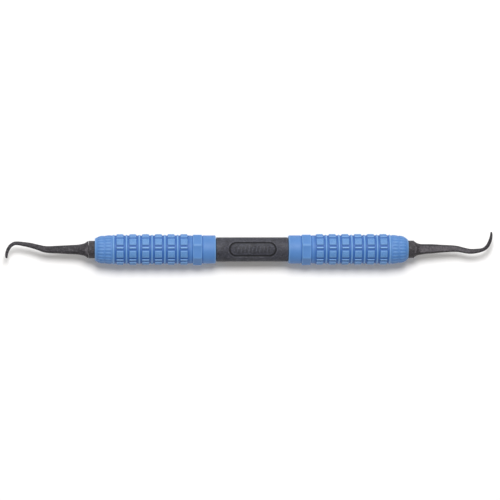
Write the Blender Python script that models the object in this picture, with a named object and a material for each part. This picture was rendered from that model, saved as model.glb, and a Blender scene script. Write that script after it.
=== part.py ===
"""A double-ended hand scaler: a hollow handle core, two ribbed grip sleeves and two screw-in working ends.

The handle lies along X and rests on the plane Z = 0. Sizes are in millimetres until points are placed.
A station is a distance along the handle's axis, measured outwards from the middle of the handle.
An angle round the handle is measured from straight up (+Z) towards +Y.
"""

import math

import bmesh
import bpy
from mathutils import Vector

MM = 0.001

# Where the handle lies: its middle is off the origin because one working end is longer than the other.
HANDLE_X = 1.0
AXIS_HEIGHT = 5.536
SIDES = {"left": -1, "right": 1}

# Handle core: a tube with a bare grip in the middle, a seat for each sleeve and a pocket in each end.
CORE_SEGMENTS = 48
CORE_RADIUS = 4.32
CORE_BARE_END = {"left": 12.65, "right": 12.35}
CORE_EDGE = 0.12
CORE_END = 54.6
CORE_END_CHAMFER = 0.4
SEAT_RADIUS = 3.8
BEAD_STATION = 40.0
BEAD_HALF = 0.9
BEAD_HEIGHT = 0.3
POCKET_RADIUS = 2.95
POCKET_FLOOR = 46.0
BORE_RADIUS = 2.0

# The oval label surround: a groove, sunk to the same depth below the round surface all the way round.
OVAL_LENGTH = 17.0
OVAL_WIDTH = 5.4
OVAL_GROOVE = 0.6
OVAL_DEPTH = 0.4
OVAL_ARC_STEPS = 8
OVAL_CUTTER_TOP = 5.0

# Grip sleeves: rings and rows of blocks, a seven-sided anti-roll band and a plain cuff.
SLEEVE_START = {"left": 13.1, "right": 12.8}
SLEEVE_END = {"left": 56.17, "right": 55.7}
SLEEVE_POINTS = 28
SLEEVE_RADIUS = 5.05
SLEEVE_BORE = 3.95
SLEEVE_LIP_START = 54.9
SLEEVE_LIP_BORE = 3.2
SLEEVE_DOME = ((0.0, 3.7), (0.35, 4.15), (0.95, 4.45), (2.0, 4.8), (3.6, 4.97))
ROWS = 6
ROW_PITCH = 4.55
FIRST_RING = 6.7
RING_HALF = 0.42
RING_RADIUS = 5.3
BLOCK_AFTER_RING = 2.27
BLOCK_HALF = 1.23
BLOCK_BEVEL = 0.15
BLOCK_RADIUS = 5.5
BLOCKS_ROUND = 7
BLOCK_CENTRE_ANGLE = math.radians(-20.9)
BLOCK_HALF_ANGLE = math.radians(15.5)
BLOCK_WALL_ANGLE = math.radians(0.8)
BAND_FROM_END = 36.5
BAND_HALF = 1.65
BAND_SIDES = 7
BAND_CORNER_RADIUS = 5.6
BAND_CORNER_ANGLE = math.radians(-36.0)
BAND_POINTS_PER_SIDE = 4
BAND_LEAD = 0.4
CUFF_EDGE = ((0.4, 5.05), (0.1, 4.91), (0.0, 4.61))
SLEEVE_GROOVE_CLEARANCE = 0.15

# The screw joint of each working end: a male thread on its tang and a threaded bush in the core.
THREAD_SEGMENTS = 16
THREAD_PITCH = 0.8
THREAD_TURNS = 7
THREAD_START = 47.4
THREAD_ROOT = 1.6
THREAD_CREST = 2.0
THREAD_CREST_HALF = 0.05
THREAD_SLOPE = math.tan(math.radians(30))
THREAD_RUNOUT_TURNS = 0.5
THREAD_RUNOUT_LEAST = 0.1
THREAD_CLEARANCE = 0.1
THREAD_SINK = 0.12
# The bush is threaded right out through its mouth, so that the tang can be turned all the way out.
BUSH_EXTRA_TURNS = 2
TANG_TIP = 46.9
TANG_CHAMFER = 0.25
INSERT_INNER_END = 46.3
INSERT_OUTER_END = 53.6
INSERT_RADIUS = 2.85
INSERT_CHAMFER = 0.15

# Seal ring, held between the bush and the collar of the working end.
SEAL_STATION = 54.1
SEAL_MEAN_RADIUS = 2.35
SEAL_THICKNESS = 0.8
SEAL_SEGMENTS = 24
SEAL_SECTION_POINTS = 8

# Working ends: a collar with two spanner flats, then a shank that tapers and bends in the XY plane.
END_SEGMENTS = 16
COLLAR_START = 54.7
COLLAR_RADIUS = 3.12
COLLAR_EDGE = 0.15
FLAT_HALF = 2.3
FLAT_SETBACK = 0.12
FLAT_LENGTH = 4.0
FLAT_WIDTH = 8.0
FLAT_DEPTH = 2.0
COLLAR_END = {"left": 58.3, "right": 57.75}
CONE = {
    "left": (
        (58.85, 2.92),
        (59.45, 2.5),
        (60.2, 2.15),
        (61.2, 1.93),
        (62.6, 1.72),
        (65.2, 1.61),
        (68.7, 1.43),
    ),
    "right": (
        (58.1, 2.75),
        (58.65, 2.38),
        (59.35, 2.07),
        (60.3, 1.9),
    ),
}
# Each bend point is a station, an offset along Y and a radius.
BENDS = {
    "left": (
        (72.3, 0.0, 1.26),
        (74.4, 0.22, 1.14),
        (76.1, 0.72, 1.0),
        (79.2, 1.56, 0.87),
        (81.8, 2.0, 0.77),
        (83.2, 2.15, 0.73),
        (84.5, 2.0, 0.73),
        (85.4, 1.5, 0.71),
        (86.1, 0.9, 0.67),
        (86.72, -0.02, 0.64),
        (87.12, -1.04, 0.6),
        (87.3, -2.0, 0.54),
        (87.31, -2.62, 0.47),
    ),
    "right": (
        (62.0, 0.1, 1.76),
        (64.8, 0.18, 1.64),
        (68.0, 0.22, 1.39),
        (71.6, 0.23, 1.2),
        (73.7, 0.06, 1.08),
        (75.3, -0.27, 0.99),
        (76.9, -0.6, 0.94),
        (78.2, -0.76, 0.9),
        (79.6, -0.7, 0.84),
        (81.0, -0.48, 0.77),
        (82.3, -0.12, 0.71),
        (83.2, 0.42, 0.71),
        (83.85, 1.1, 0.75),
        (84.3, 1.85, 0.76),
        (84.8, 2.9, 0.73),
        (85.12, 3.9, 0.67),
        (85.28, 4.6, 0.6),
        (85.36, 5.3, 0.53),
        (85.37, 5.8, 0.45),
    ),
}
BEND_STEP = 0.85
# Over the blade the inside of the hook is cut flat, this far from the middle in radii.
BLADE_LENGTH = 9.0
BLADE_FACE = 0.6
TIP_ROUNDING = ((0.5, 0.85), (0.85, 0.5))


def clear_scene():
    for old in list(bpy.data.objects):
        bpy.data.objects.remove(old)


def round_point(side, station, radius, angle):
    """A point round the handle's axis, on the left or the right half of the handle."""
    return Vector((side * station, radius * math.sin(angle), radius * math.cos(angle)))


def even_angles(count, start):
    return [start + step * math.tau / count for step in range(count)]


def circle(side, station, radius, angles):
    return [round_point(side, station, radius, angle) for angle in angles]


def loft(rings, joined_in_a_loop):
    """Skins rings of equal length. The ends are capped, or the last ring joins the first."""
    shape = bmesh.new()
    loops = [[shape.verts.new(point) for point in ring] for ring in rings]
    spans = list(zip(loops, loops[1:]))
    if joined_in_a_loop:
        spans.append((loops[-1], loops[0]))
    else:
        shape.faces.new(loops[0])
        shape.faces.new(loops[-1])
    for near, far in spans:
        for here in range(len(near)):
            after = (here + 1) % len(near)
            shape.faces.new((near[here], near[after], far[after], far[here]))
    bmesh.ops.recalc_face_normals(shape, faces=shape.faces)
    return shape


def box(low, high):
    shape = bmesh.new()
    bmesh.ops.create_cube(shape, size=1.0)
    centre = (Vector(low) + Vector(high)) / 2
    extent = Vector(high) - Vector(low)
    for vertex in shape.verts:
        vertex.co = centre + Vector(a * b for a, b in zip(vertex.co, extent))
    return shape


def make_object(name, shape, origin=Vector((0, 0, 0)), sharp_degrees=30):
    """Makes an object from millimetre geometry, with its own origin at a point on the handle's axis."""
    for vertex in shape.verts:
        vertex.co = (vertex.co - origin) * MM
    mesh = bpy.data.meshes.new(name)
    shape.to_mesh(mesh)
    shape.free()
    mesh.shade_smooth()
    mesh.set_sharp_from_angle(angle=math.radians(sharp_degrees))
    made = bpy.data.objects.new(name, mesh)
    bpy.context.scene.collection.objects.link(made)
    made.parent = bpy.data.objects["handle_axis"]
    made.location = origin * MM
    return made


def make_cutter(name, shape):
    cutter = make_object(name, shape)
    cutter.hide_render = True
    cutter.display_type = "WIRE"
    return cutter


def combine(target, other, operation):
    step = target.modifiers.new(other.name, "BOOLEAN")
    step.operation = operation
    step.solver = "EXACT"
    step.object = other


def finish_with(target, name, colour, roughness, metallic):
    material = bpy.data.materials.new(name)
    material.use_nodes = True
    shader = material.node_tree.nodes["Principled BSDF"]
    shader.inputs["Base Color"].default_value = (*colour, 1.0)
    shader.inputs["Roughness"].default_value = roughness
    shader.inputs["Metallic"].default_value = metallic
    target.data.materials.append(material)


def oval_outline(length, width):
    """A round-ended slot outline in the XY plane."""
    reach = (length - width) / 2
    outline = []
    for end in (1, -1):
        for step in range(OVAL_ARC_STEPS + 1):
            turn = math.pi * (step / OVAL_ARC_STEPS - 0.5)
            outline.append((end * (reach + width / 2 * math.cos(turn)), end * width / 2 * math.sin(turn)))
    return outline


def oval_groove_cutter():
    floor = CORE_RADIUS - OVAL_DEPTH
    outer = oval_outline(OVAL_LENGTH, OVAL_WIDTH)
    inner = oval_outline(OVAL_LENGTH - 2 * OVAL_GROOVE, OVAL_WIDTH - 2 * OVAL_GROOVE)
    rings = []
    for outline, on_floor in ((outer, True), (outer, False), (inner, False), (inner, True)):
        ring = []
        for x, y in outline:
            height = math.sqrt(floor**2 - y**2) if on_floor else OVAL_CUTTER_TOP
            ring.append(Vector((x, y, height)))
        rings.append(ring)
    return make_cutter("oval_groove_cutter", loft(rings, True))


def core_half(name):
    """The core's outline from its middle to one end and back down its bore, as stations and radii."""
    bare_end = CORE_BARE_END[name]
    return [
        (bare_end - CORE_EDGE, CORE_RADIUS),
        (bare_end, CORE_RADIUS - CORE_EDGE),
        (bare_end, SEAT_RADIUS),
        (BEAD_STATION - BEAD_HALF, SEAT_RADIUS),
        (BEAD_STATION, SEAT_RADIUS + BEAD_HEIGHT),
        (BEAD_STATION + BEAD_HALF, SEAT_RADIUS),
        (CORE_END - CORE_END_CHAMFER, SEAT_RADIUS),
        (CORE_END, SEAT_RADIUS - CORE_END_CHAMFER),
        (CORE_END, POCKET_RADIUS),
        (POCKET_FLOOR, POCKET_RADIUS),
        (POCKET_FLOOR, BORE_RADIUS),
    ]


def make_handle_core():
    profile = core_half("right") + [(-station, radius) for station, radius in reversed(core_half("left"))]
    angles = even_angles(CORE_SEGMENTS, 0.0)
    rings = [circle(1, station, radius, angles) for station, radius in profile]
    core = make_object("handle_core", loft(rings, True))
    combine(core, oval_groove_cutter(), "DIFFERENCE")
    finish_with(core, "black_resin", (0.055, 0.053, 0.055), 0.6, 0.0)


def block_ring(side, station, block_radius):
    """A ring whose points sit at the foot and the top of each block's two long walls."""
    ring = []
    for block in range(BLOCKS_ROUND):
        centre = BLOCK_CENTRE_ANGLE + block * math.tau / BLOCKS_ROUND
        foot = BLOCK_HALF_ANGLE
        top = BLOCK_HALF_ANGLE - BLOCK_WALL_ANGLE
        ring.append(round_point(side, station, SLEEVE_RADIUS, centre - foot))
        ring.append(round_point(side, station, block_radius, centre - top))
        ring.append(round_point(side, station, block_radius, centre + top))
        ring.append(round_point(side, station, SLEEVE_RADIUS, centre + foot))
    return ring


def band_ring(side, station, round_radius=None):
    """A ring on the flats of the band, or at one radius with its points at the same angles."""
    ring = []
    for flat in range(BAND_SIDES):
        start_angle = BAND_CORNER_ANGLE + flat * math.tau / BAND_SIDES
        start = round_point(side, station, BAND_CORNER_RADIUS, start_angle)
        end = round_point(side, station, BAND_CORNER_RADIUS, start_angle + math.tau / BAND_SIDES)
        for step in range(BAND_POINTS_PER_SIDE):
            point = start.lerp(end, step / BAND_POINTS_PER_SIDE)
            if round_radius:
                angle = math.atan2(point.y, point.z)
                point = round_point(side, station, round_radius, angle)
            ring.append(point)
    return ring


def sleeve_rings(name):
    """From the outer end, over the outside to the cuff, and back through the bore to the mouth."""
    side = SIDES[name]
    start = SLEEVE_START[name]
    end = SLEEVE_END[name]
    even = even_angles(SLEEVE_POINTS, BLOCK_CENTRE_ANGLE - BLOCK_HALF_ANGLE)
    rings = [circle(side, end - back, radius, even) for back, radius in SLEEVE_DOME]
    for row in range(ROWS):
        ring_station = end - FIRST_RING - row * ROW_PITCH
        block_station = ring_station - BLOCK_AFTER_RING
        for step, radius in ((RING_HALF, SLEEVE_RADIUS), (0.0, RING_RADIUS), (-RING_HALF, SLEEVE_RADIUS)):
            rings.append(circle(side, ring_station + step, radius, even))
        bevel_station = BLOCK_HALF - BLOCK_BEVEL
        for step, radius in (
            (BLOCK_HALF, SLEEVE_RADIUS),
            (bevel_station, BLOCK_RADIUS),
            (-bevel_station, BLOCK_RADIUS),
            (-BLOCK_HALF, SLEEVE_RADIUS),
        ):
            rings.append(block_ring(side, block_station + step, radius))
    band = end - BAND_FROM_END
    rings.append(band_ring(side, band + BAND_HALF + BAND_LEAD, SLEEVE_RADIUS))
    rings.append(band_ring(side, band + BAND_HALF, SLEEVE_RADIUS))
    rings.append(band_ring(side, band + BAND_HALF))
    rings.append(band_ring(side, band - BAND_HALF))
    rings.append(band_ring(side, band - BAND_HALF, SLEEVE_RADIUS))
    rings += [circle(side, start + step, radius, even) for step, radius in CUFF_EDGE]
    groove = SLEEVE_BORE + BEAD_HEIGHT
    groove_half = BEAD_HALF + SLEEVE_GROOVE_CLEARANCE
    for station, radius in (
        (start, SLEEVE_BORE),
        (BEAD_STATION - groove_half, SLEEVE_BORE),
        (BEAD_STATION, groove),
        (BEAD_STATION + groove_half, SLEEVE_BORE),
        (SLEEVE_LIP_START, SLEEVE_BORE),
        (SLEEVE_LIP_START, SLEEVE_LIP_BORE),
        (end, SLEEVE_LIP_BORE),
    ):
        rings.append(circle(side, station, radius, even))
    return rings


def make_grip_sleeve(name):
    sleeve = make_object(f"{name}_grip_sleeve", loft(sleeve_rings(name), True))
    finish_with(sleeve, f"{name}_blue_silicone", (0.12, 0.25, 0.56), 0.5, 0.0)


def thread_coil(side, all_turns, clearance):
    """A right-hand thread as one closed coil, with its height fading out over half a turn at each end."""
    sections = []
    steps = all_turns * THREAD_SEGMENTS
    foot_radius = THREAD_ROOT - THREAD_SINK
    for step in range(steps + 1):
        turns = step / THREAD_SEGMENTS
        from_end = min(turns, all_turns - turns)
        fade = min(1.0, THREAD_RUNOUT_LEAST + from_end / THREAD_RUNOUT_TURNS)
        crest = THREAD_ROOT + (THREAD_CREST - THREAD_ROOT) * fade + clearance
        crest_half = THREAD_CREST_HALF + clearance / 2
        foot_half = crest_half + (crest - foot_radius) * THREAD_SLOPE
        middle = THREAD_START + turns * THREAD_PITCH
        angle = side * (turns + 0.5 / THREAD_SEGMENTS) * math.tau
        sections.append(
            [
                round_point(side, middle - foot_half, foot_radius, -angle),
                round_point(side, middle - crest_half, crest, -angle),
                round_point(side, middle + crest_half, crest, -angle),
                round_point(side, middle + foot_half, foot_radius, -angle),
            ]
        )
    return loft(sections, False)


def make_socket_insert(name):
    side = SIDES[name]
    bore = THREAD_ROOT + THREAD_CLEARANCE
    angles = even_angles(THREAD_SEGMENTS, 0.0)
    profile = (
        (INSERT_INNER_END, bore),
        (INSERT_INNER_END, INSERT_RADIUS),
        (INSERT_OUTER_END - INSERT_CHAMFER, INSERT_RADIUS),
        (INSERT_OUTER_END, INSERT_RADIUS - INSERT_CHAMFER),
        (INSERT_OUTER_END, bore),
    )
    rings = [circle(side, station, radius, angles) for station, radius in profile]
    insert = make_object(f"{name}_socket_insert", loft(rings, True))
    female_thread = thread_coil(side, THREAD_TURNS + BUSH_EXTRA_TURNS, THREAD_CLEARANCE)
    combine(insert, make_cutter(f"{name}_thread_cutter", female_thread), "DIFFERENCE")
    finish_with(insert, f"{name}_insert_steel", (0.55, 0.55, 0.56), 0.35, 1.0)


def make_seal_ring(name):
    side = SIDES[name]
    angles = even_angles(SEAL_SEGMENTS, 0.0)
    rings = []
    for turn in even_angles(SEAL_SECTION_POINTS, math.pi / SEAL_SECTION_POINTS):
        station = SEAL_STATION + SEAL_THICKNESS / 2 * math.cos(turn)
        radius = SEAL_MEAN_RADIUS + SEAL_THICKNESS / 2 * math.sin(turn)
        rings.append(circle(side, station, radius, angles))
    origin = Vector((side * SEAL_STATION, 0, 0))
    seal = make_object(f"{name}_seal_ring", loft(rings, True), origin, 60)
    finish_with(seal, f"{name}_seal_rubber", (0.02, 0.02, 0.02), 0.7, 0.0)


def smooth_path(points):
    """Catmull-Rom points about every BEND_STEP along the bends, the first and last points included."""
    path = []
    for index in range(len(points) - 1):
        before = points[max(index - 1, 0)]
        start = points[index]
        end = points[index + 1]
        after = points[min(index + 2, len(points) - 1)]
        count = max(1, round((end - start).length / BEND_STEP))
        for step in range(count):
            t = step / count
            path.append(
                0.5 * (
                    2 * start
                    + (end - before) * t
                    + (2 * before - 5 * start + 4 * end - after) * t**2
                    + (3 * start - before - 3 * end + after) * t**3
                )
            )
    path.append(points[-1])
    return path


def shank_ring(side, centre, tangent, radius, inside, face):
    """A ring across the bent shank. Its inside is cut flat where face is under 1."""
    across = Vector((-tangent.y, tangent.x, 0)) * inside
    up = Vector((0, 0, 1))
    ring = []
    for turn in even_angles(END_SEGMENTS, 0.0):
        reach = min(math.cos(turn), face)
        point = centre + across * (radius * reach) + up * (radius * math.sin(turn))
        ring.append(Vector((side * point.x, point.y, point.z)))
    return ring


def shank_rings(name):
    """The tapered, bent shank, from the end of the cone to the rounded tip of the blade."""
    side = SIDES[name]
    inside = -1 if name == "left" else 1
    points = [Vector(point) for point in BENDS[name]]
    path = smooth_path(points)
    lengths = [0.0]
    for here, after in zip(path, path[1:]):
        lengths.append(lengths[-1] + (after.xy - here.xy).length)
    rings = []
    for index, place in enumerate(path):
        before = path[max(index - 1, 0)]
        after = path[min(index + 1, len(path) - 1)]
        tangent = (after.xy - before.xy).normalized().to_3d()
        from_tip = lengths[-1] - lengths[index]
        bladed = max(0.0, 1.0 - from_tip / BLADE_LENGTH)
        face = 1.0 - (1.0 - BLADE_FACE) * min(1.0, 2 * bladed)
        rings.append(shank_ring(side, place.xy.to_3d(), tangent, place.z, inside, face))
    last = path[-1]
    for along, narrowing in TIP_ROUNDING:
        centre = last.xy.to_3d() + tangent * (last.z * along)
        rings.append(shank_ring(side, centre, tangent, last.z * narrowing, inside, BLADE_FACE))
    return rings


def make_working_end(name):
    """Tang, collar, cone and shank are one solid. Its origin is on the screw axis, at the collar's seat."""
    side = SIDES[name]
    collar_end = COLLAR_END[name]
    turned = (
        (TANG_TIP, THREAD_ROOT - TANG_CHAMFER),
        (TANG_TIP + TANG_CHAMFER, THREAD_ROOT),
        (COLLAR_START, THREAD_ROOT),
        (COLLAR_START, COLLAR_RADIUS - COLLAR_EDGE),
        (COLLAR_START + COLLAR_EDGE, COLLAR_RADIUS),
        (collar_end, COLLAR_RADIUS),
        *CONE[name],
    )
    # These rings start along +Y, as the rings across the shank do.
    inside = -1 if name == "left" else 1
    axis = Vector((1, 0, 0))
    rings = [shank_ring(side, Vector((s, 0, 0)), axis, r, inside, 1.0) for s, r in turned]
    rings += shank_rings(name)
    origin = Vector((side * COLLAR_START, 0, 0))
    working_end = make_object(f"{name}_working_end", loft(rings, False), origin)
    for label, up in (("upper", 1), ("lower", -1)):
        near = (side * (collar_end + FLAT_SETBACK), -FLAT_WIDTH / 2, up * FLAT_HALF)
        far = (side * (collar_end + FLAT_LENGTH), FLAT_WIDTH / 2, up * (FLAT_HALF + FLAT_DEPTH))
        low = [min(pair) for pair in zip(near, far)]
        high = [max(pair) for pair in zip(near, far)]
        combine(working_end, make_cutter(f"{name}_{label}_flat_cutter", box(low, high)), "DIFFERENCE")
    male_thread = thread_coil(side, THREAD_TURNS, 0.0)
    combine(working_end, make_cutter(f"{name}_thread", male_thread), "UNION")
    finish_with(working_end, f"{name}_end_resin", (0.06, 0.057, 0.06), 0.55, 0.0)


def main():
    clear_scene()
    axis = bpy.data.objects.new("handle_axis", None)
    axis.location = Vector((HANDLE_X, 0, AXIS_HEIGHT)) * MM
    bpy.context.scene.collection.objects.link(axis)
    make_handle_core()
    for name in SIDES:
        make_grip_sleeve(name)
        make_socket_insert(name)
        make_seal_ring(name)
        make_working_end(name)


main()
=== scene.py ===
"""The visible hand scaler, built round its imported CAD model, with a floor, three lights and a camera."""

import math

import bpy
import numpy as np
from mathutils import Matrix, Vector


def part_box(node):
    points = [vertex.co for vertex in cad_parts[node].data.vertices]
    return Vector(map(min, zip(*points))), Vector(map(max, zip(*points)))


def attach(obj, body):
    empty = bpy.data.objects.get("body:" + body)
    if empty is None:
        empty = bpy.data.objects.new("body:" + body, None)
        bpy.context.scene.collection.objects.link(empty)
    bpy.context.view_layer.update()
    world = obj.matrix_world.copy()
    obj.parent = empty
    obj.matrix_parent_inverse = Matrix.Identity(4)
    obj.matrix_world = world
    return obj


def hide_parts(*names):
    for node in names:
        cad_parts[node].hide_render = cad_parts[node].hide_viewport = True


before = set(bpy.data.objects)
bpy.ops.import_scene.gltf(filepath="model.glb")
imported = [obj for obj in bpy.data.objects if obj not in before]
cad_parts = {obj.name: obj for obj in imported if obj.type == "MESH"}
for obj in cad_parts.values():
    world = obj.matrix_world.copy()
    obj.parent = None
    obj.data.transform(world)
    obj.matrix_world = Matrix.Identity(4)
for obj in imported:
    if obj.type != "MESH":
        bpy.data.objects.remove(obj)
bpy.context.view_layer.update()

MM = 0.001

# The object's lengths are in millimetres. A station is a distance outwards from the middle of the handle,
# and an angle round the handle is measured from straight up towards +Y.
SIDES = {"left": -1, "right": 1}


def middle_of(node):
    low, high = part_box(node)
    return (low + high) / 2 / MM


HANDLE = middle_of("handle_core")
LEFT_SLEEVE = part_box("left_grip_sleeve")
RIGHT_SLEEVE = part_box("right_grip_sleeve")
SLEEVE_START = {"left": HANDLE.x - LEFT_SLEEVE[1].x / MM, "right": RIGHT_SLEEVE[0].x / MM - HANDLE.x}
SLEEVE_END = {"left": HANDLE.x - LEFT_SLEEVE[0].x / MM, "right": RIGHT_SLEEVE[1].x / MM - HANDLE.x}

# ---------------------------------------------------------------------------------------------- mesh tools


# How steeply the wall of a moulded feature starts.
WALL_POWER = 2.4


def ease(value, start, end):
    """0 before start and 1 after end, with a smooth change between."""
    t = np.clip((value - start) / (end - start), 0.0, 1.0)
    return t * t * (3 - 2 * t)


def plateau(inside, edge):
    """The height, 0 to 1, of a moulded feature at a distance inside its outline.

    Over the edge's width the wall starts steeply and rounds off into the flat top.
    """
    t = np.clip(inside / edge, 0.0, 1.0)
    return 1 - (1 - t) ** WALL_POWER


def inside_box(across, along, half_across, half_along, corner):
    """The distance inside a round-cornered rectangle, negative outside it."""
    a = np.abs(across) - half_across + corner
    b = np.abs(along) - half_along + corner
    return corner - np.hypot(np.maximum(a, 0), np.maximum(b, 0)) - np.minimum(np.maximum(a, b), 0)


def raised(radius, base, top, rise):
    """The sleeve's radius with a feature on it, which starts from base and stands at top where rise is 1."""
    return np.where(rise > 0, np.maximum(radius, base + (top - base) * rise), radius)


def wrapped(angle, period):
    """The angle from the nearest whole number of periods."""
    return (angle + period / 2) % period - period / 2


def thinned(values, least):
    """Sorted values without any that lies nearer than least to the one kept before it."""
    kept = []
    for value in sorted(values):
        if not kept or value - kept[-1] >= least:
            kept.append(value)
    return kept


def ring_points(side, stations, radii, angles):
    """Points of rings round the handle, from one station a ring and a radius for each ring and angle."""
    radii = np.asarray(radii, float)
    if radii.ndim == 1:
        radii = np.repeat(radii[:, None], len(angles), axis=1)
    x = np.repeat((side * np.asarray(stations, float))[:, None], len(angles), axis=1)
    return np.stack([x, radii * np.sin(angles), radii * np.cos(angles)], axis=-1)


def skin(name, rings, looped, sharp_degrees=50):
    """One closed mesh through rings of equal length: capped at its ends, or joined in a loop."""
    count, size, _ = rings.shape
    points = (rings + np.array(HANDLE)).reshape(-1, 3) * MM
    spans = count if looped else count - 1
    near = (np.arange(spans)[:, None] * size + np.arange(size)[None, :]).ravel()
    near_next = (np.arange(spans)[:, None] * size + (np.arange(size)[None, :] + 1) % size).ravel()
    far = (near + size) % (count * size)
    far_next = (near_next + size) % (count * size)
    faces = np.stack([near, near_next, far_next, far], axis=-1).tolist()
    if not looped:
        faces.append(list(range(size - 1, -1, -1)))
        faces.append(list(range((count - 1) * size, count * size)))
    mesh = bpy.data.meshes.new(name)
    mesh.from_pydata(points.tolist(), [], faces)
    mesh.calc_loop_triangles()
    corners = np.empty(len(mesh.loop_triangles) * 3, int)
    mesh.loop_triangles.foreach_get("vertices", corners)
    a, b, c = (points[corners.reshape(-1, 3)[:, k]] - points[0] for k in range(3))
    if np.einsum("ij,ij->i", a, np.cross(b, c)).sum() < 0:
        mesh.flip_normals()
    mesh.shade_smooth()
    mesh.set_sharp_from_angle(angle=math.radians(sharp_degrees))
    piece = bpy.data.objects.new(name, mesh)
    bpy.context.scene.collection.objects.link(piece)
    return piece


def paint(piece, name, values):
    """Stores a number for each point, which the piece's material reads."""
    layer = piece.data.attributes.new(name, "FLOAT", "POINT")
    layer.data.foreach_set("value", np.asarray(values, np.float32).ravel())


def finish_piece(piece, body, node, material):
    """Gives the piece its material and puts it in the place of the frame's node."""
    piece.data.materials.append(material)
    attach(piece, body)
    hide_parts(node)


# ------------------------------------------------------------------------------------------------ materials


class Shader:
    """A node material under construction."""

    def __init__(self, name):
        self.material = bpy.data.materials.new(name)
        self.material.use_nodes = True
        self.tree = self.material.node_tree
        self.surface = self.tree.nodes["Principled BSDF"]
        self.place = self.tree.nodes.new("ShaderNodeTexCoord").outputs["Object"]

    def link(self, output, socket):
        self.tree.links.new(output, socket)

    def set(self, socket, value):
        self.surface.inputs[socket].default_value = value

    def noise(self, size, detail=3.0, roughness=0.5, stretch=None):
        """Noise whose blobs are about size millimetres across, longer along X if stretch says so."""
        place = self.place
        if stretch:
            mapping = self.tree.nodes.new("ShaderNodeMapping")
            mapping.inputs["Scale"].default_value = stretch
            self.link(place, mapping.inputs["Vector"])
            place = mapping.outputs["Vector"]
        node = self.tree.nodes.new("ShaderNodeTexNoise")
        node.inputs["Scale"].default_value = 1 / (size * MM)
        node.inputs["Detail"].default_value = detail
        node.inputs["Roughness"].default_value = roughness
        self.link(place, node.inputs["Vector"])
        return node.outputs["Fac"]

    def painted(self, name):
        node = self.tree.nodes.new("ShaderNodeAttribute")
        node.attribute_name = name
        return node.outputs["Fac"]

    def spread(self, output, low, high, from_low=0.3, from_high=0.7):
        """Maps a value from one range to another, clamped."""
        node = self.tree.nodes.new("ShaderNodeMapRange")
        node.inputs["From Min"].default_value = from_low
        node.inputs["From Max"].default_value = from_high
        node.inputs["To Min"].default_value = low
        node.inputs["To Max"].default_value = high
        self.link(output, node.inputs["Value"])
        return node.outputs["Result"]

    def math(self, operation, a, b):
        node = self.tree.nodes.new("ShaderNodeMath")
        node.operation = operation
        for index, value in enumerate((a, b)):
            if isinstance(value, (int, float)):
                node.inputs[index].default_value = value
            else:
                self.link(value, node.inputs[index])
        return node.outputs[0]

    def blend(self, share, a, b):
        """Mixes two colours. Either one is a colour or another node's output."""
        node = self.tree.nodes.new("ShaderNodeMix")
        node.data_type = "RGBA"
        self.link(share, node.inputs["Factor"])
        for socket, value in (("A", a), ("B", b)):
            target = [i for i in node.inputs if i.name == socket and i.type == "RGBA"][0]
            if isinstance(value, tuple):
                target.default_value = (*value, 1.0)
            else:
                self.link(value, target)
        return [o for o in node.outputs if o.type == "RGBA"][0]

    def bump(self, height, depth, strength, below=None):
        """Bump of a depth in millimetres, on top of another bump if one is given."""
        node = self.tree.nodes.new("ShaderNodeBump")
        node.inputs["Distance"].default_value = depth * MM
        node.inputs["Strength"].default_value = strength
        self.link(height, node.inputs["Height"])
        if below:
            self.link(below, node.inputs["Normal"])
        return node.outputs["Normal"]


# Colours of the blue silicone. The palest is a painted highlight and the deepest is a painted shade.
SILICONE_BLUES = {
    "darker": (0.062, 0.178, 0.43),
    "lighter": (0.074, 0.2, 0.475),
    "grain": (0.12, 0.268, 0.5),
    "painted_highlight": (0.18, 0.36, 0.63),
    "painted_shade": (0.014, 0.088, 0.32),
}
PIT_BLACK = (0.008, 0.008, 0.009)
# A painted shade for the resin's grooves and the spaces between its bars.
SHADE_BLACK = (0.006, 0.006, 0.007)


def grip_silicone():
    """Blue silicone: satin, with painted highlight on edges, painted shade in recesses, and grainy on its
    treads.
    """
    s = Shader("blue_silicone")
    cloud = s.noise(5.0, 2.0)
    grain = s.noise(0.34, 2.0, 0.6)
    fine = s.noise(0.11, 2.0)
    tread = s.painted("tread")
    blue = s.blend(s.spread(cloud, 0.0, 1.0), SILICONE_BLUES["darker"], SILICONE_BLUES["lighter"])
    grainy = s.math("MULTIPLY", s.spread(grain, 0.0, 1.0, 0.4, 0.62), tread)
    blue = s.blend(s.math("MULTIPLY", grainy, 0.8), blue, SILICONE_BLUES["grain"])
    # Painted highlight on the edges, rims and ends.
    blue = s.blend(s.math("MULTIPLY", s.painted("painted_highlight"), 0.75), blue, SILICONE_BLUES["painted_highlight"])
    # Painted shade in the recesses round the blocks, bumps and band.
    blue = s.blend(s.math("MULTIPLY", s.painted("painted_shade"), 0.85), blue, SILICONE_BLUES["painted_shade"])
    s.link(blue, s.surface.inputs["Base Color"])
    satin = s.spread(grain, 0.52, 0.64)
    polish = s.math("MULTIPLY", s.painted("painted_highlight"), 0.1)
    s.link(s.math("SUBTRACT", satin, polish), s.surface.inputs["Roughness"])
    soft = s.bump(fine, 0.012, 0.5)
    rough = s.math("MULTIPLY", grain, tread)
    s.link(s.bump(rough, 0.06, 0.8, soft), s.surface.inputs["Normal"])
    s.set("Specular IOR Level", 0.45)
    return s.material


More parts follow.
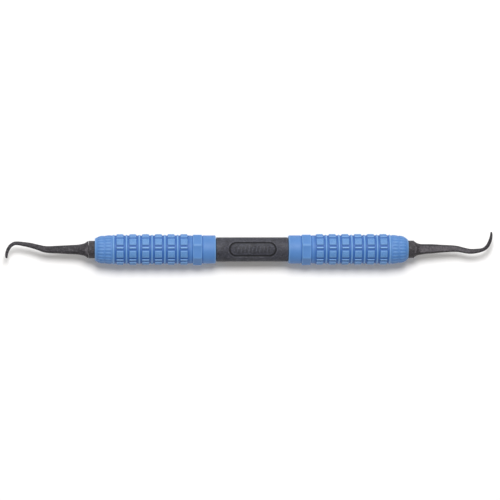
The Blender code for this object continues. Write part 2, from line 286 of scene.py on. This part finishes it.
def black_resin(name, dark, light, fleck):
    """Fibre-filled black resin: matt, with pale flecks, dark pits, fine moulded grain, painted highlight and
    shade.
    """
    s = Shader(name)
    cloud = s.noise(3.0, 3.0)
    grain = s.noise(0.62, 3.0, 0.65)
    fine = s.noise(0.14, 2.0)
    pits = s.noise(0.9, 2.0, 0.6, (0.6, 1.0, 1.0))
    flow = s.noise(1.1, 2.0, 0.5, (0.35, 1.0, 1.0))
    colour = s.blend(s.spread(cloud, 0.0, 1.0, 0.35, 0.65), dark, light)
    colour = s.blend(s.spread(grain, 0.0, 0.6, 0.5, 0.68), colour, fleck)
    colour = s.blend(s.spread(pits, 0.6, 0.0, 0.34, 0.47), colour, PIT_BLACK)
    speckle = s.spread(grain, 0.3, 0.9, 0.4, 0.6)
    # Painted highlight, speckled by the grain.
    colour = s.blend(s.math("MULTIPLY", s.painted("painted_highlight"), speckle), colour, fleck)
    # Painted shade in the grooves.
    colour = s.blend(s.math("MULTIPLY", s.painted("painted_shade"), 0.9), colour, SHADE_BLACK)
    s.link(colour, s.surface.inputs["Base Color"])
    s.link(s.spread(flow, 0.58, 0.78), s.surface.inputs["Roughness"])
    first = s.bump(grain, 0.07, 0.7)
    s.link(s.bump(fine, 0.016, 0.5, first), s.surface.inputs["Normal"])
    s.set("Specular IOR Level", 0.42)
    return s.material


def turned_steel():
    """Steel turned on a lathe: fine rings round the handle's axis."""
    s = Shader("turned_steel")
    rings = s.noise(0.12, 2.0, 0.5, (1.0, 0.04, 0.04))
    stain = s.noise(1.6, 3.0)
    colour = s.blend(s.spread(stain, 0.0, 1.0), (0.5, 0.5, 0.51), (0.6, 0.6, 0.6))
    s.link(colour, s.surface.inputs["Base Color"])
    s.link(s.spread(rings, 0.22, 0.42), s.surface.inputs["Roughness"])
    s.link(s.bump(rings, 0.008, 0.6), s.surface.inputs["Normal"])
    s.set("Metallic", 1.0)
    return s.material


def seal_rubber():
    """Black rubber with a dusty bloom."""
    s = Shader("seal_rubber")
    bloom = s.noise(0.7, 3.0)
    fine = s.noise(0.12, 2.0)
    colour = s.blend(s.spread(bloom, 0.0, 1.0), (0.014, 0.014, 0.015), (0.034, 0.033, 0.032))
    s.link(colour, s.surface.inputs["Base Color"])
    s.link(s.spread(bloom, 0.5, 0.75), s.surface.inputs["Roughness"])
    s.link(s.bump(fine, 0.01, 0.5), s.surface.inputs["Normal"])
    return s.material


SILICONE = grip_silicone()
HANDLE_RESIN = black_resin(
    "handle_resin",
    dark=(0.024, 0.0245, 0.035),
    light=(0.033, 0.034, 0.046),
    fleck=(0.088, 0.091, 0.112),
)
END_RESIN = black_resin(
    "end_resin",
    dark=(0.017, 0.015, 0.0185),
    light=(0.03, 0.0275, 0.0325),
    fleck=(0.11, 0.101, 0.114),
)
STEEL = turned_steel()
RUBBER = seal_rubber()

# ---------------------------------------------------------------------------------------------- handle core

CORE_RADIUS = 4.32
CORE_BARE_END = {"left": 12.92, "right": 12.62}
CORE_EDGE = 0.14
CORE_END = 54.6
CORE_END_CHAMFER = 0.4
SEAT_RADIUS = 3.8
BEAD_STATION = 40.0
BEAD_HALF = 0.9
BEAD_HEIGHT = 0.3
POCKET_RADIUS = 2.95
POCKET_FLOOR = 46.0
BORE_RADIUS = 2.0

OVAL_LENGTH = 17.0
OVAL_WIDTH = 5.4
OVAL_GROOVE = 0.6
OVAL_DEPTH = 0.4
OVAL_LIP_WIDTH = 0.55
OVAL_LIP_HEIGHT = 0.05
PAD_SINK = 0.03
# A row of plain slanted bars stands on the pad inside the oval. Its ends cut the outermost bars in half.
BAR_PITCH = 1.32
BAR_WIDTH = 0.62
BAR_HEIGHT_HALF = 1.15
BAR_ROW_HALF = 6.6
BAR_SLANT = 0.22
BAR_CORNER = 0.15
BAR_EDGE = 0.22
BAR_RISE = 0.12

# The core's mesh is fine round the oval, over an arc in degrees and a length, and coarse elsewhere.
CORE_FINE_ARC = 46
CORE_FINE_ANGLE = 0.75
CORE_COARSE_ANGLE = 3.5
CORE_FINE_HALF = 9.2
CORE_FINE_STEP = 0.11
CORE_COARSE_STEP = 0.6
CORE_LEAST_STEP = 0.07


def core_angles():
    fine = np.arange(-CORE_FINE_ARC, CORE_FINE_ARC + 0.01, CORE_FINE_ANGLE)
    coarse = np.arange(CORE_FINE_ARC + 3, 360 - CORE_FINE_ARC - 2, CORE_COARSE_ANGLE)
    return np.radians(np.concatenate([fine, coarse]))


def bare_stations():
    """Stations along the core's bare middle, from one edge to the other."""
    left_edge = -CORE_BARE_END["left"] + CORE_EDGE
    right_edge = CORE_BARE_END["right"] - CORE_EDGE
    coarse = list(np.arange(left_edge, right_edge, CORE_COARSE_STEP))
    fine = list(np.arange(-CORE_FINE_HALF, CORE_FINE_HALF + 0.01, CORE_FINE_STEP))
    return np.array(thinned(coarse + fine + [right_edge], CORE_LEAST_STEP))


def build_core():
    angles = core_angles()
    stations = bare_stations()
    along = stations[:, None]
    across = (CORE_RADIUS * np.sin(angles))[None, :]
    facing = (np.cos(angles) > 0)[None, :]
    reach = (OVAL_LENGTH - OVAL_WIDTH) / 2
    from_line = np.hypot(np.maximum(np.abs(along) - reach, 0), across)
    outside = from_line - OVAL_WIDTH / 2
    groove = plateau(OVAL_GROOVE / 2 - np.abs(outside + OVAL_GROOVE / 2), 0.2) * facing
    lip = ease(outside, -0.02, 0.12) * (1 - ease(outside, 0.15, OVAL_LIP_WIDTH)) * facing
    pad = ease(-outside, OVAL_GROOVE, OVAL_GROOVE + 0.15) * facing
    leaning = along - BAR_SLANT * across
    from_bar = wrapped(leaning, BAR_PITCH)
    row = np.abs(leaning) < BAR_ROW_HALF
    inside_bar = inside_box(across, from_bar, BAR_HEIGHT_HALF, BAR_WIDTH / 2, BAR_CORNER)
    bars = plateau(inside_bar, BAR_EDGE) * row * facing
    radii = CORE_RADIUS - OVAL_DEPTH * groove + OVAL_LIP_HEIGHT * lip - PAD_SINK * pad + BAR_RISE * bars
    outer = ring_points(1, stations, radii, angles)
    shared = [
        (BEAD_STATION - BEAD_HALF, SEAT_RADIUS),
        (BEAD_STATION - 0.2, SEAT_RADIUS + BEAD_HEIGHT * 0.9),
        (BEAD_STATION + 0.2, SEAT_RADIUS + BEAD_HEIGHT * 0.9),
        (BEAD_STATION + BEAD_HALF, SEAT_RADIUS),
        (CORE_END - CORE_END_CHAMFER, SEAT_RADIUS),
        (CORE_END, SEAT_RADIUS - CORE_END_CHAMFER),
        (CORE_END, POCKET_RADIUS),
        (POCKET_FLOOR, POCKET_RADIUS),
        (POCKET_FLOOR, BORE_RADIUS),
    ]
    halves = {}
    for name, side in SIDES.items():
        bare_end = CORE_BARE_END[name]
        half = [
            (bare_end - 0.04, CORE_RADIUS - 0.04),
            (bare_end, CORE_RADIUS - CORE_EDGE),
            (bare_end, SEAT_RADIUS),
        ] + shared
        halves[name] = ring_points(side, [s for s, _ in half], [r for _, r in half], angles)
    piece = skin("resin_core", np.concatenate([outer, halves["right"], halves["left"][::-1]]), True, 35)
    plain = np.zeros(halves["right"].shape[:2])
    to_end = np.where(along > 0, CORE_BARE_END["right"] - along, CORE_BARE_END["left"] + along)
    edges = 1 - ease(to_end, 0.1, 0.35)
    # Painted highlight on the oval's lip, the bare core's end edges and the bars.
    painted_highlight = np.clip(0.55 * lip + 0.5 * edges + 0.45 * bars, 0, 1)
    # Painted shade in the oval's groove and between the bars.
    between_bars = pad * (1 - bars) * (np.abs(across) < BAR_HEIGHT_HALF) * row
    painted_shade = np.maximum(groove, 0.4 * between_bars)
    paint(piece, "painted_highlight", np.concatenate([painted_highlight + 0 * radii, plain, plain]))
    paint(piece, "painted_shade", np.concatenate([painted_shade + 0 * radii, plain, plain]))
    finish_piece(piece, "handle", "handle_core", HANDLE_RESIN)


# --------------------------------------------------------------------------------------------- grip sleeves

BASE_RADIUS = 5.02
SLEEVE_BORE = 3.95
LIP_STATION = 54.9
LIP_BORE = 3.2
GROOVE_CLEARANCE = 0.15

# The outside of each domed end, as distances back from its face and radii.
DOME = {
    "left": ((0.0, 3.75), (0.06, 3.92), (0.2, 4.07), (0.45, 4.18), (0.8, 4.3), (1.2, 4.44), (1.6, 4.58),
             (2.25, 4.72), (3.0, 4.79), (3.7, 4.83), (4.75, 4.92), (5.6, 4.99), (6.0, BASE_RADIUS)),
    "right": ((0.0, 3.35), (0.1, 3.5), (0.35, 3.7), (0.6, 3.92), (0.9, 4.14), (1.3, 4.32), (1.64, 4.45),
              (2.4, 4.64), (3.1, 4.76), (3.9, 4.83), (4.75, 4.93), (5.6, 5.0), (6.0, BASE_RADIUS)),
}
BUMPS_ROUND = 24
BUMP_PHASE = {"left": math.radians(-0.5), "right": math.radians(2.0)}
# Each row of bumps is a distance back from the face and half a bump's length.
BUMP_ROWS = ((2.15, 1.25), (4.75, 1.15))
BUMP_HALF_WIDTH = 0.46
BUMP_HEIGHT = 0.15

ROWS = 6
ROW_PITCH = 4.55
FIRST_RING = 6.7
RING_HALF = 0.35
RING_EDGE = 0.3
RING_RADIUS = 5.27
BLOCK_AFTER_RING = 2.27
BLOCK_HALF = 1.32
BLOCK_HALF_WIDTH = 1.46
BLOCK_RADIUS = 5.48
BLOCKS_ROUND = 7
BLOCK_PHASE = math.radians(-19.3)
RIDGE_HALF_WIDTH = 0.36
RIDGE_CORNER = 0.15
RIDGE_EDGE = 0.24
RIDGE_RADIUS = 5.44
BLOCK_CORNER = 0.22
BLOCK_EDGE = 0.3

BAND_FROM_END = 36.5
BAND_HALF = 1.65
BAND_SIDES = 7
BAND_FLAT = 5.12
BAND_ROUNDING = 0.87
BAND_PHASE = math.radians(17.0)
BAND_EDGE = 0.22
# A shallow groove runs beside each end of the band.
BAND_GROOVE_DEPTH = 0.12
BAND_GROOVE_HALF = 0.24
BAND_GROOVE_OFFSET = 0.16
CUFF_ROUNDING = 0.45

# How much painted highlight lightens the silicone's bumps, rings, blocks, band and ends, from 0 to 1.
HIGHLIGHT_AMOUNT = {"bump": 0.3, "ring": 0.8, "block": 0.85, "band": 0.6, "band_corner": 0.35, "end": 0.7}

SECTOR = math.tau / BLOCKS_ROUND

# The sleeve's mesh, in degrees round it and millimetres along it. Its steps are measured to both sides of
# the feature that they are named after, or in from that end of the sleeve.
ANGLE_STEP = 1.75
LEAST_ANGLE = 0.33
BLOCK_ANGLES = (15.9, 15.3, 14.9, 14.5, 14.0, 13.3, 12.4)
RIDGE_ANGLES = (0.0, 1.2, 2.0, 2.6, 3.1, 3.6, 4.1)
FACE_STEPS = (0.0, 0.06, 0.13, 0.2, 0.3, 0.4, 0.55, 0.7, 0.8)
DOME_START = 0.95
DOME_END = 6.2
DOME_STEP = 0.2
RING_STEPS = (0.5, 0.4, 0.34, 0.28, 0.2, 0.1)
BLOCK_STEPS = (1.42, 1.32, 1.27, 1.2, 1.12, 1.02, 0.9, 0.65, 0.4, 0.15)
BAND_STEPS = (2.2, 2.0, 1.86, 1.75, 1.65, 1.6, 1.53, 1.44, 1.2, 0.7, 0.2)
CUFF_STEP = 0.5
CUFF_END_STEPS = (0.8, 0.6, 0.45, 0.33, 0.22, 0.13, 0.06, 0.02, 0.0)
LEAST_STEP = 0.018


def sleeve_angles():
    """Angles round the sleeve, closer together at the edges of its blocks and ridges."""
    degrees = np.degrees(SECTOR)
    sector = list(np.arange(-degrees / 2, degrees / 2, ANGLE_STEP))
    for edge in BLOCK_ANGLES:
        sector += [edge, -edge]
    for edge in RIDGE_ANGLES:
        sector += [degrees / 2 - edge, -degrees / 2 + edge]
    # A sector's last angle is the next one's first, so it is left out here.
    sector = [value for value in thinned(sector, LEAST_ANGLE) if value < degrees / 2 - 0.2]
    turns = []
    for k in range(BLOCKS_ROUND):
        turns += [BLOCK_PHASE + k * SECTOR + math.radians(value) for value in sector]
    return np.array(turns)


def sleeve_backs(length):
    """Distances back from the sleeve's face, closer together at the edges of its features."""
    backs = list(FACE_STEPS) + list(np.arange(DOME_START, DOME_END, DOME_STEP))
    for row in range(ROWS):
        ring = FIRST_RING + row * ROW_PITCH
        for step in RING_STEPS:
            backs += [ring - step, ring + step]
        block = ring + BLOCK_AFTER_RING
        for step in BLOCK_STEPS:
            backs += [block - step, block + step]
    for step in BAND_STEPS:
        backs += [BAND_FROM_END - step, BAND_FROM_END + step]
    backs += list(np.arange(BAND_FROM_END + 2.4, length - 1.0, CUFF_STEP))
    backs += [length - step for step in CUFF_END_STEPS]
    return np.array(thinned(backs, LEAST_STEP))


def band_radius(angles):
    """The radius of a polygon with round corners, at each angle."""
    half = math.pi / BAND_SIDES
    centre = (BAND_FLAT - BAND_ROUNDING) / math.cos(half)
    turn = np.abs(wrapped(angles - BAND_PHASE, 2 * half))
    flat = BAND_FLAT / np.cos(half - turn)
    tangent = math.atan2(BAND_ROUNDING * math.sin(half), centre + BAND_ROUNDING * math.cos(half))
    inner = np.maximum(BAND_ROUNDING**2 - (centre * np.sin(turn)) ** 2, 0)
    return np.where(turn < tangent, centre * np.cos(turn) + np.sqrt(inner), flat)


def build_sleeve(name):
    side = SIDES[name]
    end = SLEEVE_END[name]
    start = SLEEVE_START[name]
    length = end - start
    angles = sleeve_angles()
    back = sleeve_backs(length)[:, None]
    dome_back, dome_radius = zip(*DOME[name])
    radius = np.interp(back, dome_back, dome_radius) + 0 * angles[None, :]
    # Each point gets a share of painted highlight and of painted shade, and is marked where a tread is
    # grainy.
    painted_highlight = np.zeros_like(radius)
    painted_shade = np.zeros_like(radius)
    tread = np.zeros_like(radius)

    for place, half_length in BUMP_ROWS:
        across = wrapped(angles - BUMP_PHASE[name], math.tau / BUMPS_ROUND)[None, :] * radius
        far = np.hypot(across / BUMP_HALF_WIDTH, (back - place) / half_length)
        bump = np.sqrt(np.clip(1 - far**2, 0, 1))
        radius = radius + BUMP_HEIGHT * bump
        # Painted highlight on each bump, and painted shade round it.
        painted_highlight = np.maximum(painted_highlight, HIGHLIGHT_AMOUNT["bump"] * bump)
        near_bumps = 1 - ease(np.abs(back - place), half_length - 0.3, half_length + 0.1)
        painted_shade = np.maximum(painted_shade, 0.3 * (1 - ease(bump, 0.0, 0.4)) * near_bumps)

    from_sector = wrapped(angles - BLOCK_PHASE, SECTOR)[None, :]
    from_ridge = wrapped(angles - BLOCK_PHASE - SECTOR / 2, SECTOR)[None, :]
    for row in range(ROWS):
        ring = FIRST_RING + row * ROW_PITCH
        rise = plateau(RING_HALF - np.abs(back - ring), RING_EDGE)
        radius = raised(radius, BASE_RADIUS, RING_RADIUS, rise)
        # Painted highlight on the ring.
        painted_highlight = np.maximum(painted_highlight, HIGHLIGHT_AMOUNT["ring"] * rise + 0 * angles)
        block = ring + BLOCK_AFTER_RING
        # Painted shade over the floor round the block, kept off its top, the ridges and the ring.
        near = 1 - ease(np.abs(back - block), 2.0, 2.35)
        painted_shade = np.maximum(painted_shade, near + 0 * angles)
        across = from_sector * BLOCK_RADIUS
        inside = inside_box(across, back - block, BLOCK_HALF_WIDTH, BLOCK_HALF, BLOCK_CORNER)
        rise = plateau(inside, BLOCK_EDGE)
        radius = raised(radius, BASE_RADIUS, BLOCK_RADIUS, rise)
        # Painted highlight on the block's edges.
        rim = ease(inside, 0.02, 0.14) * (1 - ease(inside, 0.2, 0.42))
        painted_highlight = np.maximum(painted_highlight, HIGHLIGHT_AMOUNT["block"] * rim)
        tread = np.maximum(tread, ease(inside, 0.25, 0.45))
        painted_shade = painted_shade * (1 - ease(inside, 0.0, 0.12))
        across = from_ridge * RIDGE_RADIUS
        inside = inside_box(across, back - block, RIDGE_HALF_WIDTH, BLOCK_HALF, RIDGE_CORNER)
        rise = plateau(inside, RIDGE_EDGE)
        radius = raised(radius, BASE_RADIUS, RIDGE_RADIUS, rise)
        # Painted highlight on the ridge.
        painted_highlight = np.maximum(painted_highlight, ease(inside, 0.02, 0.16))
        painted_shade = painted_shade * (1 - ease(inside, 0.0, 0.1))
        painted_shade = painted_shade * (1 - plateau(RING_HALF - np.abs(back - ring), 0.12))

    from_band = np.abs(back - BAND_FROM_END)
    groove = plateau(BAND_GROOVE_HALF - np.abs(from_band - BAND_HALF - BAND_GROOVE_OFFSET), 0.2)
    radius = radius - BAND_GROOVE_DEPTH * groove
    # Painted shade in the grooves beside the band.
    painted_shade = np.maximum(painted_shade, 0.8 * groove + 0 * angles)
    rise = plateau(BAND_HALF - from_band, BAND_EDGE)
    radius = radius + np.clip(band_radius(angles)[None, :] - radius, 0, None) * rise
    # Painted highlight on the band's rims and corners, and no painted shade on the band.
    corner = 1 - ease(np.abs(wrapped(angles - BAND_PHASE, math.tau / BAND_SIDES)), 0.02, 0.12)
    on_band = ease(BAND_HALF - from_band, 0.0, 0.1)
    rim = on_band * (1 - ease(BAND_HALF - from_band, 0.15, 0.4))
    painted_highlight = np.maximum(painted_highlight, HIGHLIGHT_AMOUNT["band"] * rim + 0 * angles)
    painted_highlight = np.maximum(painted_highlight, HIGHLIGHT_AMOUNT["band_corner"] * corner[None, :] * on_band)
    painted_shade = painted_shade * (1 - on_band)

    cuff = length - back
    outward = 1 - np.clip(cuff / CUFF_ROUNDING, 0, 1)
    radius = radius - CUFF_ROUNDING * (1 - np.sqrt(np.clip(1 - outward**2, 0, 1)))
    # Painted highlight at both ends of the sleeve.
    painted_highlight = np.maximum(painted_highlight, HIGHLIGHT_AMOUNT["end"] * (1 - ease(cuff, 0.1, 0.6)) + 0 * angles)
    painted_highlight = np.maximum(painted_highlight, HIGHLIGHT_AMOUNT["end"] * (1 - ease(back, 0.15, 0.7)) + 0 * angles)

    outer = ring_points(side, end - back[:, 0], radius, angles)
    bead = BEAD_HALF + GROOVE_CLEARANCE
    bore = (
        (start, SLEEVE_BORE),
        (BEAD_STATION - bead, SLEEVE_BORE),
        (BEAD_STATION, SLEEVE_BORE + BEAD_HEIGHT),
        (BEAD_STATION + bead, SLEEVE_BORE),
        (LIP_STATION, SLEEVE_BORE),
        (LIP_STATION, LIP_BORE),
        (end, LIP_BORE),
    )
    inner = ring_points(side, [s for s, _ in bore], [r for _, r in bore], angles)
    piece = skin(f"{name}_sleeve", np.concatenate([outer, inner]), True, 60)
    blank = np.zeros((len(bore), len(angles)))
    paint(piece, "painted_highlight", np.concatenate([painted_highlight, blank]))
    paint(piece, "painted_shade", np.concatenate([painted_shade, blank]))
    paint(piece, "tread", np.concatenate([tread, blank]))
    finish_piece(piece, "handle", f"{name}_grip_sleeve", SILICONE)


# --------------------------------------------------------------------------------------------- working ends

THREAD_PITCH = 0.8
THREAD_TURNS = 7
THREAD_START = 47.4
THREAD_ROOT = 1.6
THREAD_CREST = 2.0
THREAD_CREST_HALF = 0.05
THREAD_SLOPE = math.tan(math.radians(30))
THREAD_PHASE = 1 / 32
THREAD_STEP = 0.05
TANG_TIP = 46.9
TANG_CHAMFER = 0.25
COLLAR_START = 54.7
COLLAR_RADIUS = 3.12
COLLAR_EDGE = 0.15
COLLAR_END = {"left": 58.3, "right": 57.75}
FLAT_HALF = 2.3
FLAT_SETBACK = 0.12
FLAT_LENGTH = 4.0
# Painted highlight on the flat's upper face.
FLAT_HIGHLIGHT = 0.45
# The cone behind the collar, as stations and radii.
CONE = {
    "left": (
        (58.85, 2.92), (59.45, 2.5), (60.2, 2.15), (61.2, 1.93), (62.6, 1.72), (65.2, 1.61), (68.7, 1.43),
    ),
    "right": ((58.1, 2.75), (58.65, 2.38), (59.35, 2.07), (60.3, 1.9)),
}
# Each bend point is a station, an offset along Y and a radius.
BENDS = {
    "left": (
        (72.3, 0.0, 1.26), (74.4, 0.22, 1.14), (76.1, 0.72, 1.0), (79.2, 1.56, 0.87), (81.8, 2.0, 0.77),
        (83.3, 2.17, 0.75), (84.7, 2.1, 0.76), (85.6, 1.6, 0.78), (86.3, 0.98, 0.77), (86.9, 0.02, 0.74),
        (87.3, -1.0, 0.69), (87.48, -1.98, 0.61), (87.5, -2.62, 0.5),
    ),
    "right": (
        (62.0, 0.1, 1.76), (64.8, 0.18, 1.64), (68.0, 0.22, 1.39), (71.6, 0.23, 1.2), (73.7, 0.06, 1.08),
        (75.3, -0.27, 0.99), (76.9, -0.6, 0.94), (78.2, -0.76, 0.9), (79.7, -0.7, 0.84), (81.15, -0.48, 0.77),
        (82.48, -0.12, 0.71), (83.4, 0.42, 0.71), (84.06, 1.1, 0.75), (84.52, 1.85, 0.76), (85.02, 2.9, 0.73),
        (85.34, 3.9, 0.67), (85.49, 4.6, 0.6), (85.56, 5.3, 0.53), (85.57, 5.8, 0.45),
    ),
}
END_POINTS = 64
PATH_STEP = 0.22
BLADE_LENGTH = 9.0
BLADE_FACE = 0.6
# The rings that round off the point, each as shares of the last radius: how far on, and how large.
POINT_ROUNDING = ((0.35, 0.92), (0.62, 0.78), (0.82, 0.55), (0.93, 0.3))
# Painted highlight on the rounded point.
POINT_HIGHLIGHT = 0.3
# The shank is a little squared between the cone and the bends, as if pressed from above and below.
SQUARED = {"left": (61.0, 84.0), "right": (59.0, 82.0)}
SHANK_FACE = {"left": 0.9, "right": 0.8}
# Painted highlight on the squared shank's top face.
SHANK_HIGHLIGHT = {"left": 0.12, "right": 0.87}


def smooth_path(points, step):
    """Points along a Catmull-Rom curve, about step apart."""
    points = [np.array(point, float) for point in points]
    path = []
    for index in range(len(points) - 1):
        before = points[max(index - 1, 0)]
        start, end = points[index], points[index + 1]
        after = points[min(index + 2, len(points) - 1)]
        count = max(1, round(float(np.linalg.norm(end - start)) / step))
        for k in range(count):
            t = k / count
            path.append(
                0.5
                * (
                    2 * start
                    + (end - before) * t
                    + (2 * before - 5 * start + 4 * end - after) * t**2
                    + (3 * start - before - 3 * end + after) * t**3
                )
            )
    path.append(points[-1])
    return np.array(path)


def thread_height(side, station, angles):
    """The thread's radius at a station for each angle, its height fading out at both ends."""
    turns = (station - THREAD_START) / THREAD_PITCH
    lag = -side * angles / math.tau - THREAD_PHASE
    away = wrapped(turns - lag, 1.0) * THREAD_PITCH
    place = turns - away / THREAD_PITCH
    fade = np.clip(0.1 + 2 * np.minimum(place, THREAD_TURNS - place), 0, 1)
    crest = THREAD_ROOT + (THREAD_CREST - THREAD_ROOT) * fade
    slope = crest - (np.abs(away) - THREAD_CREST_HALF) / THREAD_SLOPE
    radius = np.clip(slope, THREAD_ROOT, crest)
    on = (place > -0.05) & (place < THREAD_TURNS + 0.05)
    return np.where(on, radius, THREAD_ROOT)


def build_working_end(name):
    side = SIDES[name]
    inside = -1 if name == "left" else 1
    turns = np.arange(END_POINTS) * math.tau / END_POINTS
    angles = math.pi / 2 - turns
    rings = []
    # Each ring's share of painted highlight.
    painted_highlight = []

    def add(ring, highlight_share=0.0):
        rings.append(ring)
        painted_highlight.append(highlight_share + np.zeros(END_POINTS))

    def turned(station, radius, highlight_share=0.0):
        add(ring_points(side, [station], (radius + np.zeros(END_POINTS))[None, :], angles)[0], highlight_share)

    turned(TANG_TIP, THREAD_ROOT - TANG_CHAMFER)
    turned(TANG_TIP + TANG_CHAMFER, THREAD_ROOT)
    thread_end = THREAD_START + THREAD_TURNS * THREAD_PITCH
    for station in np.arange(THREAD_START - 0.2, thread_end + 0.25, THREAD_STEP):
        turned(station, thread_height(side, station, angles))
    turned(COLLAR_START, THREAD_ROOT)
    turned(COLLAR_START, COLLAR_RADIUS - COLLAR_EDGE)
    # Painted highlight along the collar's edges.
    turned(COLLAR_START + 0.05, COLLAR_RADIUS - 0.05, 0.3)
    turned(COLLAR_START + COLLAR_EDGE, COLLAR_RADIUS, 0.2)
    turned(COLLAR_START + 0.5, COLLAR_RADIUS, 0.1)
    collar_end = COLLAR_END[name]
    turned(collar_end - 0.3, COLLAR_RADIUS, 0.1)
    turned(collar_end, COLLAR_RADIUS, 0.2)

    # From here on the rings follow one smooth path, whose points hold a station, an offset and a radius.
    lead = [(collar_end, 0.0, COLLAR_RADIUS)] + [(s, 0.0, r) for s, r in CONE[name]]
    path = smooth_path(lead + list(BENDS[name]), PATH_STEP)[1:]
    lengths = np.concatenate([[0], np.cumsum(np.hypot(*np.diff(path[:, :2], axis=0).T))])
    for index, (station, offset, radius) in enumerate(path):
        before = path[max(index - 1, 0)]
        after = path[min(index + 1, len(path) - 1)]
        tangent = (after - before)[:2] / np.linalg.norm((after - before)[:2])
        across = np.array([-tangent[1], tangent[0]]) * inside
        from_tip = lengths[-1] - lengths[index]
        bladed = float(np.clip(2 * (1 - from_tip / BLADE_LENGTH), 0, 1))
        reach = np.minimum(np.cos(turns), 1 - (1 - BLADE_FACE) * bladed)
        rise = np.sin(turns)
        begin, finish = SQUARED[name]
        share = float(ease(station, begin, begin + 1.2) * (1 - ease(station, finish - 6, finish)))
        flat = 1 - (1 - SHANK_FACE[name]) * share
        rise = np.clip(rise, -flat, flat)
        x = station + across[0] * radius * reach
        y = offset + across[1] * radius * reach
        z = radius * rise
        # Painted highlight on the squared shank's top face.
        highlight_share = SHANK_HIGHLIGHT[name] * share * (rise >= flat - 1e-6)
        if collar_end + FLAT_SETBACK < station < collar_end + FLAT_LENGTH:
            # Painted highlight on the flat's upper face.
            highlight_share = highlight_share + FLAT_HIGHLIGHT * (z > FLAT_HALF)
            z = np.clip(z, -FLAT_HALF, FLAT_HALF)
        add(np.stack([side * x, y, z], axis=-1), np.clip(highlight_share, 0, 1))
    last = path[-1]
    # The rounded point gets a painted highlight.
    for along, narrow in POINT_ROUNDING:
        centre = last[:2] + tangent * last[2] * along
        x = centre[0] + across[0] * last[2] * narrow * reach
        y = centre[1] + across[1] * last[2] * narrow * reach
        add(np.stack([side * x, y, last[2] * narrow * np.sin(turns)], axis=-1), POINT_HIGHLIGHT)
    piece = skin(f"{name}_hook", np.array(rings), False, 40)
    paint(piece, "painted_highlight", np.array(painted_highlight))
    finish_piece(piece, f"{name}_tip", f"{name}_working_end", END_RESIN)


build_core()
for name in SIDES:
    build_sleeve(name)
    build_working_end(name)
    for node, material in ((f"{name}_socket_insert", STEEL), (f"{name}_seal_ring", RUBBER)):
        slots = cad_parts[node].data.materials
        slots.clear()
        slots.append(material)

# --------------------------------------------------------------------------------------- floor, light, camera

# Lengths from here on are in metres, apart from the lens and sensor, which are in millimetres.
FLOOR_HALF = 1.5
# Each light stands at a tilt in degrees from straight up towards +Y, at a distance, with a size and a power.
LIGHTS = {
    "key": (24.5, 0.8, 0.34, 6.1),
    "back_box": (62, 0.9, 0.7, 2.0),
    "front_fill": (-60, 0.9, 0.7, 2.0),
}
SKY_STRENGTH = 0.25
SKY_COLOUR = (1.0, 0.95, 0.91)


def build_floor():
    mesh = bpy.data.meshes.new("floor")
    corners = [(x * FLOOR_HALF, y * FLOOR_HALF, 0) for x, y in ((-1, -1), (1, -1), (1, 1), (-1, 1))]
    mesh.from_pydata(corners, [], [(0, 1, 2, 3)])
    floor = bpy.data.objects.new("floor", mesh)
    bpy.context.scene.collection.objects.link(floor)
    material = bpy.data.materials.new("pale_floor")
    material.use_nodes = True
    surface = material.node_tree.nodes["Principled BSDF"]
    surface.inputs["Base Color"].default_value = (0.9, 0.9, 0.9, 1)
    surface.inputs["Roughness"].default_value = 0.9
    surface.inputs["Specular IOR Level"].default_value = 0.1
    mesh.materials.append(material)


def build_lights():
    for name, (tilt, distance, size, power) in LIGHTS.items():
        light = bpy.data.lights.new(name, "AREA")
        light.shape = "DISK"
        light.size = size
        light.energy = power
        lamp = bpy.data.objects.new(name, light)
        turn = math.radians(tilt)
        lamp.location = (0, distance * math.sin(turn), distance * math.cos(turn))
        lamp.rotation_euler = (-turn, 0, 0)
        # The photo shows no highlight from the fill's side, so the fill has no reflection.
        lamp.visible_glossy = name != "front_fill"
        bpy.context.scene.collection.objects.link(lamp)
    world = bpy.data.worlds.new("studio")
    world.use_nodes = True
    sky = world.node_tree.nodes["Background"]
    sky.inputs["Color"].default_value = (*SKY_COLOUR, 1)
    sky.inputs["Strength"].default_value = SKY_STRENGTH
    bpy.context.scene.world = world


CAMERA_PLACE = Vector((-0.04255, -0.0002, 1.1056))
CAMERA_TARGET = Vector((0.00015, -0.0002, 0.0056))
CAMERA_LENS = 222.0
CAMERA_ROLL = math.radians(-0.05)
SENSOR_WIDTH = 36.0


def build_camera():
    camera = bpy.data.cameras.new("camera")
    camera.lens = CAMERA_LENS
    camera.sensor_width = SENSOR_WIDTH
    camera.clip_start = 0.01
    camera.clip_end = 20.0
    holder = bpy.data.objects.new("camera", camera)
    holder.location = CAMERA_PLACE
    back = (CAMERA_PLACE - CAMERA_TARGET).normalized()
    up = Matrix.Rotation(CAMERA_ROLL, 3, back) @ Vector((0, 1, 0))
    right = up.cross(back).normalized()
    holder.rotation_euler = Matrix((right, back.cross(right), back)).transposed().to_euler()
    bpy.context.scene.collection.objects.link(holder)
    bpy.context.scene.camera = holder


build_floor()
build_lights()
build_camera()
bpy.context.scene.view_settings.view_transform = "Standard"
